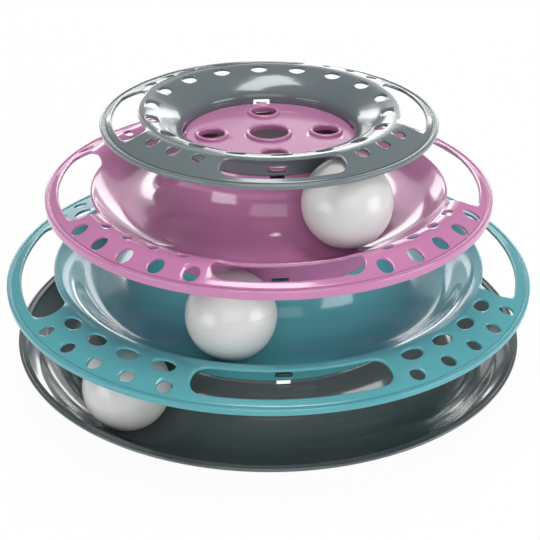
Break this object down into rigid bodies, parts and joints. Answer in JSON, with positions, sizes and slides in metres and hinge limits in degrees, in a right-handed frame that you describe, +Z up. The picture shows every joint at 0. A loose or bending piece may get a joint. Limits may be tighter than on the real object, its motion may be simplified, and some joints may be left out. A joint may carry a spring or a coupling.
{
  "type": "cat ball track toy",
  "caption": "Stacked round ball track toy for cats: dished base, tiers with slotted and holed brims, funnel ring on top, and a loose hollow ball rolling round each ring track.",
  "frame": {"origin": "on the table, under the middle of the tower", "axes": "+Z up along the tower's axis, -Y to the front slots, +X to the right seen from the front"},
  "size_m": [0.2498, 0.2498, 0.1297],
  "materials": {
    "dark_grey_plastic": "glossy moulded plastic",
    "teal_plastic": "glossy moulded plastic",
    "pink_plastic": "glossy moulded plastic",
    "grey_plastic": "glossy moulded plastic",
    "white_plastic": "satin moulded plastic",
    "foot_rubber": "matt rubber"
  },
  "bodies": {
    "tower": {"base_tray": "dark_grey_plastic", "rubber_foot_1": "foot_rubber", "rubber_foot_2": "foot_rubber", "rubber_foot_3": "foot_rubber", "rubber_foot_4": "foot_rubber", "lower_tier": "teal_plastic", "middle_tier": "pink_plastic", "top_ring": "grey_plastic"},
    "upper_ball": {"upper_ball_top_half": "white_plastic", "upper_ball_bottom_half": "white_plastic"},
    "middle_ball": {"middle_ball_top_half": "white_plastic", "middle_ball_bottom_half": "white_plastic"},
    "lower_ball": {"lower_ball_top_half": "white_plastic", "lower_ball_bottom_half": "white_plastic"}
  },
  "joints": [
    {"name": "upper_ball_run", "type": "hinge", "parent": "tower", "child": "upper_ball", "pos_m": [0, 0, 0.10635], "axis": [0, 0, 1], "continuous": true},
    {"name": "middle_ball_run", "type": "hinge", "parent": "tower", "child": "middle_ball", "pos_m": [0, 0, 0.06305], "axis": [0, 0, 1], "continuous": true},
    {"name": "lower_ball_run", "type": "hinge", "parent": "tower", "child": "lower_ball", "pos_m": [0, 0, 0.02485], "axis": [0, 0, 1], "continuous": true}
  ]
}
